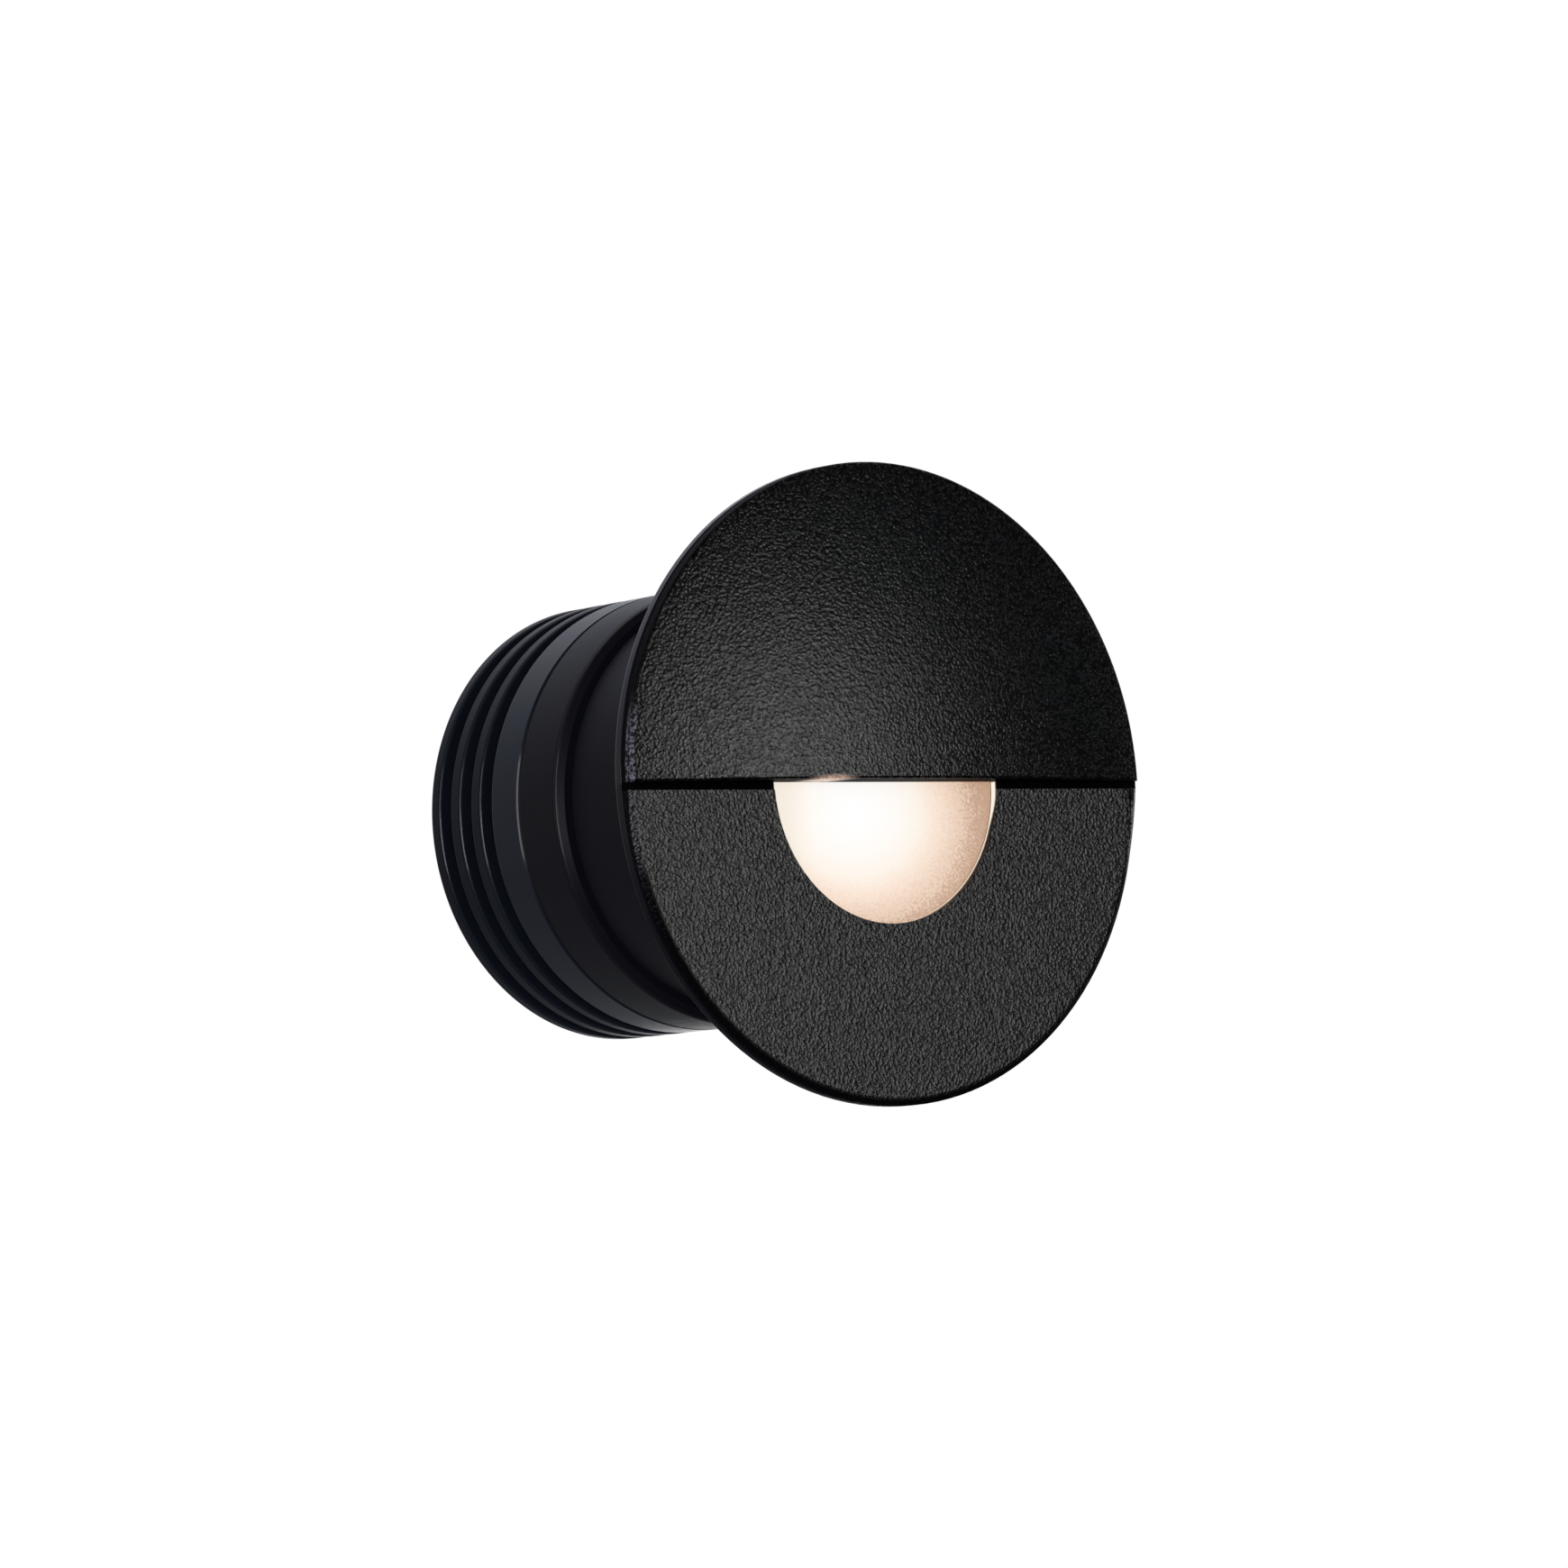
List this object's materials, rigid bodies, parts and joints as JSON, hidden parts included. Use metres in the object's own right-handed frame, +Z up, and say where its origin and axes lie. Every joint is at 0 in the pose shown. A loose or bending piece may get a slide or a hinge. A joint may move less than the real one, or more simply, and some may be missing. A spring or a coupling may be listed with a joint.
{
  "type": "recessed wall light",
  "caption": "Round black recessed wall light: flat textured cover with a raised half hood over a half-moon frosted window, on a stepped round barrel with rear cooling fins and a cable gland.",
  "frame": {"origin": "centre of the flange's rear face, in the plane of the wall", "axes": "+Y along the barrel into the wall, -Y out of the wall, +Z up with the hood above the window"},
  "size_m": [0.06, 0.0585, 0.06],
  "materials": {
    "textured_black": "fine textured powder coat",
    "satin_black": "smooth satin black coat",
    "frosted_lens": "frosted polycarbonate, lit warm white",
    "black_rubber": "matt",
    "grey_silicone": "matt",
    "plain_aluminium": "machined",
    "white_reflector": "gloss white",
    "white_board": "white solder mask",
    "green_board": "green solder mask",
    "emitter_yellow": "phosphor",
    "steel": "zinc-plated",
    "thermal_grey": "matt",
    "red_insulation": "satin",
    "black_insulation": "satin",
    "package_black": "matt moulding",
    "capacitor_sleeve": "shrink sleeve",
    "ferrite_grey": "matt",
    "terminal_green": "satin",
    "black_polyamide": "satin moulding"
  },
  "bodies": {
    "housing": {"front_housing": "satin_black", "rear_housing": "satin_black", "diffuser_lens": "frosted_lens", "lens_seal": "grey_silicone", "lens_ring": "plain_aluminium", "reflector": "white_reflector", "led_board": "white_board", "thermal_pad": "thermal_grey", "led_emitters": "emitter_yellow", "led_board_screws": "steel", "lead_grommet": "black_rubber", "led_lead_red": "red_insulation", "led_lead_black": "black_insulation", "driver_board": "green_board", "driver_board_screws": "steel", "driver_chip": "package_black", "rectifier": "package_black", "smoothing_capacitor": "capacitor_sleeve", "choke": "ferrite_grey", "terminal_block": "terminal_green", "terminal_screws": "steel", "body_o_ring": "black_rubber", "gland_body": "black_polyamide", "gland_washer": "black_rubber"},
    "cover_ring": {"cover_o_ring": "black_rubber"},
    "cover": {"front_cover": "textured_black"},
    "gland_sleeve": {"gland_seal": "black_rubber"},
    "gland_cap": {"gland_nut": "black_polyamide"}
  },
  "joints": [
    {"name": "cover_pull", "type": "slide", "parent": "housing", "child": "cover_ring", "axis": [0, -1, 0], "range_m": [0, 0.012]},
    {"name": "cover_turn", "type": "hinge", "parent": "cover_ring", "child": "cover", "pos_m": [0, 0, 0], "axis": [0, 1, 0], "continuous": true},
    {"name": "gland_sleeve_slide", "type": "slide", "parent": "housing", "child": "gland_sleeve", "axis": [0, 1, 0], "range_m": [0, 0.003]},
    {"name": "gland_nut_turn", "type": "hinge", "parent": "gland_sleeve", "child": "gland_cap", "pos_m": [0, 0.049, 0], "axis": [0, 1, 0], "range_deg": [0, 720]}
  ],
  "couplings": [
    {"joint": "gland_nut_turn", "follows": "gland_sleeve_slide", "rad_per_m": 4188.8}
  ]
}
